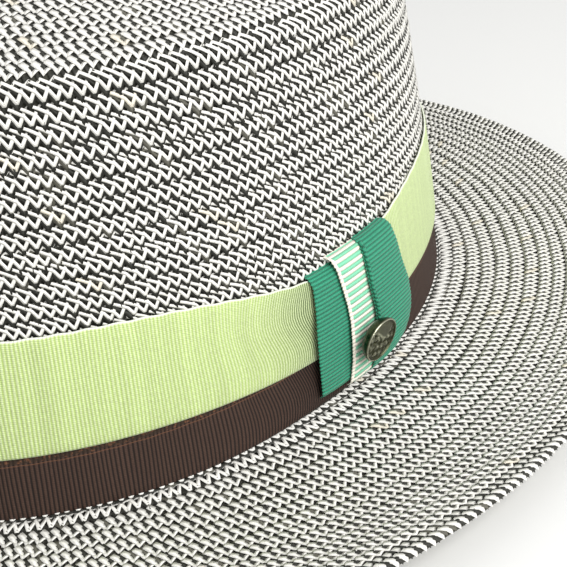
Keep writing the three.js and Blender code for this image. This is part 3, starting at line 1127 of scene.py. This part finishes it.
def add_strands(name, surface, rows, weave, look):
    """Adds the pale and the dark strands of some rows as two pieces."""
    pale, dark = braid_materials(look)
    for tint, way, yarn, material in (
        ("pale", weave.pale, PALE_YARN, pale),
        ("dark", weave.dark, DARK_YARN, dark),
    ):
        full = Yarn(*(size * look.fullness for size in yarn))
        rng = np.random.default_rng(SEED + len(rows))
        strands = braid_mesh(f"{name}_{tint}", surface, rows, weave.repeat, way, full, rng)
        add_piece(f"{name}_{tint}", strands, material)


def braid_materials(look):
    """The pale and the dark yarn, made once."""
    white = bpy.data.materials.get("white_yarn") or yarn_material(
        "white_yarn", tuple(look.white), linear(*PALE_ODD_TINT), odd_share=0.014, spread=0.08, roughness=0.55
    )
    dark = bpy.data.materials.get("dark_yarn") or yarn_material(
        "dark_yarn", tuple(look.charcoal), linear(*DARK_ODD_TINT), odd_share=0.08, spread=0.25, roughness=0.6
    )
    return white, dark


class HAT_OT_brim(bpy.types.Operator):
    """Adds the brim: a shell, and the strands sewn on it"""

    bl_idname = "hat.brim"
    bl_label = "Brim"

    def execute(self, context):
        """Builds the shell round its top and underside, then the rows: two at the foot, the rest in
        two halves, and the edge."""
        look = context.scene.hat_braid
        rows = brim_rows()
        length = BRIM.profile.length
        top = shell_stations(rows, 0.0, length, BRIM_PLAIN_STEP)
        top_off = row_relief(top, rows) - BRIM_SUNK
        shares = np.linspace(0, 1, BRIM_COLUMNS, endpoint=False)
        angles = even_angles(BRIM, length - BRIM_EVEN_AT, shares)[None, :]
        upper, _ = placed(BRIM, top[:, None], angles, top_off[:, None])
        ends = BASE_RADIUS - WALL, BASE_RADIUS + BRIM_WIDTH - BRIM_UNDER_ENDS
        radius = np.linspace(*ends, BRIM_UNDER_RINGS)[:, None]
        ripple = BRIM_UNDER_RIPPLE * (np.arange(BRIM_UNDER_RINGS) % 2)[:, None]
        under = on_plan(radius, angles, ripple + brim_rise(radius, angles))
        points = np.concatenate([upper, under])
        quads, place = grid_faces(len(points), BRIM_COLUMNS, close_rows=True)
        below = np.repeat(np.arange(len(points)) >= len(top) - 1, BRIM_COLUMNS)
        shell_piece("brim_shell", points, quads, place, (), below, BRIM_BACKING, "brim")
        half = len(rows) // 2
        add_strands("brim_foot", BRIM, rows[:2], FOOT_WEAVE, look)
        add_strands("brim_inner", BRIM, rows[2:half], FLAT_WEAVE, look)
        add_strands("brim_outer", BRIM, rows[half:-1], FLAT_WEAVE, look)
        add_strands("brim_edge", BRIM, rows[-1:], EDGE_WEAVE, look)
        return {"FINISHED"}


def pinch(angle):
    """How strongly the keeper pinches the ribbons: a bell round the keeper, from 0 to 1."""
    away = (angle - PINCH_AT + np.pi) % (2 * np.pi) - np.pi
    return np.exp(-((away / PINCH_SPREAD) ** 2) / 2)


def waves(table, angle):
    """A sum of sines: size times the sine of count times the angle plus start."""
    return sum(wave.size * np.sin(wave.count * angle + wave.start) for wave in table)


def ribbon_mesh(name, ribbon):
    """A ring with a thin closed cross-section. Its top edge ripples a little, its face puckers, most
    at the keeper, and the ribs lean in slow waves and swing where they are pinched."""
    foot = along_at_height(CROWN, (ribbon.low + ribbon.high) / 2)
    ribs = int(round(ring_length(CROWN, foot) / ribbon.rib))
    share = np.arange(RIBBON_COLUMNS) / RIBBON_COLUMNS
    up = np.array([*RIBBON_FACE, 1.0, 0.0])[:, None]
    front = np.array([1.0] * len(RIBBON_FACE) + [0.0, 0.0])[:, None]
    edge = front * ((up == 0) | (up == 1))
    angle = even_angles(CROWN, foot, share)[None, :]
    near = pinch(angle)
    lean = RIBS_LEAN * waves(RIBS_LEAN_WAVES, angle) * np.sin(np.pi * up)
    fold = RIBS_FOLD * pinch(angle + RIBS_FOLD_AT) ** 3 * np.sin(2 * np.pi * up + RIBS_FOLD_START)
    pucker = PUCKER + PUCKER_PINCHED * near**2
    pucker = pucker * np.sin(PUCKER_COUNT * angle + PUCKER_SLANT * up) * np.sin(np.pi * up)
    low = ribbon.low + ribbon.low_moves * near
    high = ribbon.high + ribbon.high_moves * near + waves(TOP_EDGE_WAVES, angle)
    height = low + (high - low) * up
    off = ribbon.stand_off + front * (ribbon.thickness * (1 - RIBBON_EDGE_THINNED * edge) + pucker)
    along = along_at_height(CROWN, height.ravel()).reshape(height.shape)
    spot = np.broadcast_to(angle + lean + fold, along.shape)
    points, _ = placed(CROWN, along, spot, np.broadcast_to(off, along.shape))
    quads, place = grid_faces(len(up), RIBBON_COLUMNS, close_rows=True)
    width = ribbon.high - ribbon.low
    rows = place[..., 0].astype(int)
    lap = place[..., 1] / RIBBON_COLUMNS
    gathered = CROWDED_RIBS * np.clip((lap - 1) / CROWDED_LAP + 1, 0, 1) ** 2
    uv = np.stack([lap * ribs + gathered, np.append(up[:, 0], 0.0)[rows] * width], axis=-1)
    # Painted shade beside the keeper, on its front side only: how far each point of the ribbon is darkened.
    painted_shade_share = np.clip((near - PAINTED_SHADE_FROM) / PAINTED_SHADE_OVER, 0, 1) ** 2
    in_front = np.cos(angle - PINCH_AT - np.pi / 2) < 0
    marks = {"painted_shade": np.broadcast_to(painted_shade_share * in_front, off.shape)}
    return make_mesh(name, points, quads, uv=uv, marks=marks)


class HAT_OT_ribbons(bpy.types.Operator):
    """Adds the two ribbons round the crown"""

    bl_idname = "hat.ribbons"
    bl_label = "Ribbons"

    def execute(self, context):
        look = context.scene.hat_ribbons
        brown = ribbon_material(
            "brown_grosgrain",
            tuple(look.brown),
            linear(*BROWN_GROOVE_SHADE_TINT),
            seam_at=SEAM_HEIGHT - UNDER_RIBBON.low,
            painted_shade_tint=linear(*BROWN_PAINTED_SHADE_TINT),
            sheen=0.0,
        )
        width = OVER_RIBBON.high - OVER_RIBBON.low
        lime = ribbon_material(
            "lime_grosgrain",
            tuple(look.lime),
            linear(*LIME_GROOVE_SHADE_TINT),
            edge=linear(*LIME_EDGE_TINT),
            edge_at=width - LIME_EDGE,
            painted_shade_tint=linear(*LIME_PAINTED_SHADE_TINT),
        )
        under = add_piece(
            "brown_ribbon", ribbon_mesh("brown_ribbon", UNDER_RIBBON), brown, ["under_ribbon"]
        )
        over = add_piece(
            "lime_ribbon", ribbon_mesh("lime_ribbon", OVER_RIBBON), lime, ["over_ribbon"]
        )
        length = ring_length(CROWN, RIBBON_LENGTH_AT) * MM
        return {"FINISHED"}


def strap_mesh(name, rows, rib):
    """A short ribbon bent over the others: its sides and stand-off are read along its height, its
    face swells on each rib by a cosine, and its sides ripple with the ribs and droop."""
    heights = column(rows, "height")
    offs = column(rows, "stand_off")
    walked = np.concatenate([[0], np.cumsum(np.hypot(np.diff(heights), np.diff(offs)))])
    ribs = int(round(walked[-1] / rib))
    steps = ribs * STRAP_RIB_STEPS + 1
    share = np.linspace(0, 1, steps)
    soft = np.hanning(STRAP_SOFTENED)
    soft /= soft.sum()

    def read(values):
        """Values at even steps along the strap, each averaged with its neighbours."""
        even = np.interp(share * walked[-1], walked, values)
        padded = np.pad(even, STRAP_SOFTENED // 2, mode="reflect", reflect_type="odd")
        return np.convolve(padded, soft, "valid")

    height, off = read(heights), read(offs)
    left, right = read(column(rows, "left")), read(column(rows, "right"))
    across = np.array(STRAP_FACE)[:, None]
    crests = np.cos(2 * np.pi * share * ribs)
    ripple = STRAP_SIDE_RIPPLE * crests
    wide = across * (right - left + 2 * ripple) + (left - ripple)
    middle = np.sin(np.pi * np.clip(across, STRAP_SWELL_ENDS, 1 - STRAP_SWELL_ENDS))
    face_off = off + STRAP_SWELL * crests * middle - STRAP_SIDE_DROOP * (across * 2 - 1) ** 8
    back_off = np.broadcast_to(off - STRAP_THICKNESS, face_off.shape)
    all_wide = np.concatenate([wide, wide[::-1]])
    all_off = np.concatenate([face_off, back_off])
    all_height = np.broadcast_to(height, all_off.shape)
    along = along_at_height(CROWN, all_height.ravel()).reshape(all_off.shape)
    points, _ = placed(CROWN, along, angle_at(all_wide), all_off)
    quads, place = grid_faces(len(points), steps, close_rows=True, close_columns=False)
    millimetres = np.concatenate([across, across[::-1]]) * (right - left).mean()
    turn = np.append(millimetres, 0.0)[place[..., 0].astype(int)]
    uv = np.stack([place[..., 1] / STRAP_RIB_STEPS, turn], axis=-1)
    ring = np.arange(len(points)) * steps
    caps = [ring[::-1], ring + steps - 1]
    return make_mesh(name, points, quads[:, ::-1], caps, uv=uv[:, ::-1]), walked[-1]


def cord_mesh(name, rows):
    """A cord of two twisted strands along a strap's left side: a tube whose radius swells twice on
    each ring, where the swellings turn along the cord."""
    height = np.linspace(CORD_LOW, CORD_HIGH, CORD_STEPS)
    left = np.interp(height, column(rows, "height"), column(rows, "left"))
    off = np.interp(height, column(rows, "height"), column(rows, "stand_off"))
    along = along_at_height(CROWN, height)
    path, normal = placed(CROWN, along, angle_at(left + CORD_RADIUS), off + CORD_RADIUS / 2)
    tangent = unit(np.gradient(path, axis=0))
    side = unit(np.cross(tangent, normal))
    rise = np.cross(side, tangent)
    turn = np.linspace(0, 2 * np.pi, CORD_SIDES, endpoint=False)[None, :]
    lays = (height - CORD_LOW)[:, None] / CORD_LAY
    radius = CORD_RADIUS * (1 + CORD_SWELL * np.cos(2 * turn - 2 * np.pi * lays))
    out = np.cos(turn)[..., None] * side[:, None] + np.sin(turn)[..., None] * rise[:, None]
    points = path[:, None] + radius[..., None] * out
    quads, place = grid_faces(CORD_STEPS, CORD_SIDES)
    caps = [cap[::-1] for cap in end_caps(CORD_STEPS, CORD_SIDES)]
    step_lays = (CORD_HIGH - CORD_LOW) / (CORD_STEPS - 1) / CORD_LAY
    uv = np.stack([place[..., 0] * step_lays, place[..., 1]], axis=-1)
    return make_mesh(name, points, quads[:, ::-1], caps, uv=uv[:, ::-1])


class HAT_OT_keeper(bpy.types.Operator):
    """Adds the keeper's three straps, and the cord sewn along the last one"""

    bl_idname = "hat.keeper"
    bl_label = "Keeper"

    def execute(self, context):
        look = context.scene.hat_keeper
        teal = ribbon_material(
            "teal_grosgrain", tuple(look.teal), linear(*TEAL_GROOVE_SHADE_TINT), sheen=0.2, roughness=0.6
        )
        striped = striped_material(tuple(look.cream), tuple(look.mint), linear(*STRIPE_GROOVE_SHADE_TINT))
        for name, node, rows, material, below in (
            ("teal_strap_front", "front_strap", FRONT_STRAP, teal, "lime_ribbon"),
            ("striped_strap_middle", "striped_strap", STRIPED_STRAP, striped, "teal_strap_front"),
            ("teal_strap_rear", "rear_strap", REAR_STRAP, teal, "striped_strap_middle"),
        ):
            mesh, length = strap_mesh(name, rows, look.rib / MM)
            strap = add_piece(name, mesh, material, [node])
            cord = []
            if node == "rear_strap":
                cord = [add_piece("selvage_cord", cord_mesh("selvage_cord", rows), teal)]
        return {"FINISHED"}


def button_face(share, turn, on_face):
    """The face's relief, and how bright it is made: partly rubbed wear, partly painted highlight. Above a
    wavy line it is smooth and raised, and below it rough: sines of one slanted place times cosines of
    another, summed. The step between them is 1 / (1 + e to minus the height above the line)."""
    across, upward = share * np.cos(turn), share * np.sin(turn)
    line = upward - LINE_AT + waves(LINE_WAVES, across)
    above = 1 / (1 + np.exp(-line / LINE_SHARP))
    rough = sum(
        wave.size
        * np.sin(wave.across * across + wave.upward * upward)
        * np.cos(wave.then_across * across + wave.then_upward * upward)
        for wave in ROUGH_WAVES
    )
    relief = on_face * (SMOOTH_RAISED * above + ROUGH_RAISED * (1 - above) * rough)
    # Brightness on rough crests, the smooth part and the line: partly rubbed wear, partly painted highlight.
    crests = ROUGH_WORN_AND_HIGHLIGHT * (1 - above) * np.clip(rough, 0, 1) + SMOOTH_WORN_AND_HIGHLIGHT * above
    return relief, on_face * np.maximum(crests, np.exp(-((line / LINE_WORN_AND_HIGHLIGHT) ** 2)))


def button_axes():
    """The button's seat on the crown, and its three axes: to its side, up it and out of it."""
    along = along_at_height(CROWN, np.array(BUTTON_HEIGHT))
    seat, normal = placed(CROWN, along, angle_at(np.array(BUTTON_ROUND)), np.array(BUTTON_OFF))
    aside = unit(np.cross((0, 0, 1), normal))
    raised = np.cross(normal, aside)
    normal = unit(normal + math.tan(BUTTON_TURNED) * aside + math.tan(BUTTON_TIPPED) * raised)
    side = unit(np.cross((0, 0, 1), normal))
    return seat, side, np.cross(normal, side), normal


class HAT_OT_button(bpy.types.Operator):
    """Adds the button"""

    bl_idname = "hat.button"
    bl_label = "Button"

    def execute(self, context):
        """A profile turned about its axis, with relief on its face, and made bright on its rim and relief:
        partly rubbed wear, partly painted highlight.
        """
        share, out = column(BUTTON_SECTIONS, "share"), column(BUTTON_SECTIONS, "out")
        steps = np.linspace(0, len(share) - 1, BUTTON_RINGS)[:, None]
        share = np.interp(steps, np.arange(len(share)), share)
        out = np.interp(steps, np.arange(len(out)), out)
        turn = np.linspace(0, 2 * np.pi, BUTTON_SIDES, endpoint=False)
        on_face = (steps > BUTTON_FACE_FROM) * np.clip((FACE_ENDS - share) / FACE_FADES, 0, 1)
        relief, high = button_face(share, turn, on_face)
        seat, side, up, normal = button_axes()
        reach = BUTTON_RADIUS * share
        points = (
            seat
            + (reach * np.cos(turn))[..., None] * side
            + (reach * np.sin(turn))[..., None] * up
            + (out + relief)[..., None] * normal
        )
        quads, _ = grid_faces(BUTTON_RINGS, BUTTON_SIDES)
        caps = end_caps(BUTTON_RINGS, BUTTON_SIDES)
        # The rim and the face's bright places: partly rubbed wear, partly painted highlight.
        rim = np.exp(-(((steps - BUTTON_RIM_AT) / BUTTON_RIM_WIDE) ** 2))
        worn_and_highlight = np.clip(np.maximum(high, rim), 0, 1)
        mesh = make_mesh("bronze_button", points, quads, caps, marks={"worn_and_highlight": worn_and_highlight})
        add_piece("bronze_button", mesh, bronze_material(), ["button"])
        return {"FINISHED"}


class HAT_OT_stage(bpy.types.Operator):
    """Adds the floor, the lights and the camera"""

    bl_idname = "hat.stage"
    bl_label = "Stage"

    def execute(self, context):
        """A wide pale floor, light from all round, a soft lamp overhead, and the camera."""
        look = context.scene.hat_stage
        material, _, shader = new_material("pale_floor", 0.9, specular=0.1)
        shader.inputs["Base Color"].default_value = (*look.floor, 1)
        floor_mesh = bpy.data.meshes.new("floor")
        corners = [(x * FLOOR_REACH, y * FLOOR_REACH, 0) for x, y in ((-1, -1), (1, -1), (1, 1), (-1, 1))]
        floor_mesh.from_pydata(corners, [], [(0, 1, 2, 3)])
        floor_mesh.materials.append(material)
        floor = bpy.data.objects.new("floor", floor_mesh)
        context.scene.collection.objects.link(floor)

        world = bpy.data.worlds.new("studio")
        world.use_nodes = True
        sky = world.node_tree.nodes["Background"]
        socket_set(sky, Color=(1, 1, 1, 1), Strength=look.sky)
        context.scene.world = world
        context.scene.view_settings.view_transform = "Standard"

        add_lamp("overhead", np.array(LAMP_AT), np.array(LAMP_TOWARDS), LAMP_SIZE, look.lamp)

        camera = bpy.data.cameras.new("camera")
        camera.lens = CAMERA_LENS
        camera.sensor_width = CAMERA_SENSOR
        camera.clip_start = CAMERA_NEAR
        eye = bpy.data.objects.new("camera", camera)
        eye.matrix_world = camera_place()
        context.scene.collection.objects.link(eye)
        context.scene.camera = eye
        return {"FINISHED"}


def facing(across, upward, back, spot):
    """The matrix of something at a spot, from its three axes."""
    place = Matrix.Identity(4)
    for row, values in enumerate(zip(across, upward, back, spot)):
        place[row] = values
    return place


def camera_place():
    """The camera's axes: back along its direction, right level, up square to both, then rolled."""
    level = math.cos(CAMERA_UP)
    back = np.array(
        (math.cos(CAMERA_ROUND) * level, math.sin(CAMERA_ROUND) * level, math.sin(CAMERA_UP))
    )
    right = np.array((-math.sin(CAMERA_ROUND), math.cos(CAMERA_ROUND), 0.0))
    up = np.cross(back, right)
    turn, tip = math.cos(CAMERA_ROLL), math.sin(CAMERA_ROLL)
    return facing(right * turn + up * tip, up * turn - right * tip, back, CAMERA_AT)


def add_lamp(name, spot, target, size, power):
    """A square soft lamp at a spot, facing a target."""
    light = bpy.data.lights.new(name, "AREA")
    light.energy = power
    light.size = size
    lamp = bpy.data.objects.new(name, light)
    away = unit(spot - target)
    side = unit(np.cross((0, 1, 0), away))
    lamp.matrix_world = facing(side, np.cross(away, side), away, spot)
    bpy.context.scene.collection.objects.link(lamp)


class HAT_PT_panel(bpy.types.Panel):
    """Lists the hat's pieces and settings in the sidebar"""

    bl_idname = "HAT_PT_panel"
    bl_label = "Pork pie hat"
    bl_space_type = "VIEW_3D"
    bl_region_type = "UI"
    bl_category = "Hat"

    def draw(self, context):
        """One button for each operator, then the settings."""
        for operator in OPERATORS:
            self.layout.operator(operator.bl_idname)
        for name, settings in SETTINGS.items():
            group = getattr(context.scene, name)
            for field in settings.__annotations__:
                self.layout.prop(group, field)


SETTINGS = {
    "hat_braid": HatBraid,
    "hat_ribbons": HatRibbons,
    "hat_keeper": HatKeeper,
    "hat_stage": HatStage,
}
OPERATORS = (HAT_OT_crown, HAT_OT_brim, HAT_OT_ribbons, HAT_OT_keeper, HAT_OT_button, HAT_OT_stage)


def register():
    """Registers the classes and hangs the settings on the scene."""
    for made in (*SETTINGS.values(), *OPERATORS, HAT_PT_panel):
        bpy.utils.register_class(made)
    for name, settings in SETTINGS.items():
        setattr(bpy.types.Scene, name, PointerProperty(type=settings))


def unregister():
    """Takes the settings off the scene and removes the classes."""
    for name in SETTINGS:
        delattr(bpy.types.Scene, name)
    for made in reversed((*SETTINGS.values(), *OPERATORS, HAT_PT_panel)):
        bpy.utils.unregister_class(made)


def main():
    """Builds the hat piece by piece."""
    register()
    bpy.ops.hat.crown()
    bpy.ops.hat.brim()
    bpy.ops.hat.ribbons()
    bpy.ops.hat.keeper()
    bpy.ops.hat.button()
    bpy.ops.hat.stage()


if __name__ == "__main__":
    main()
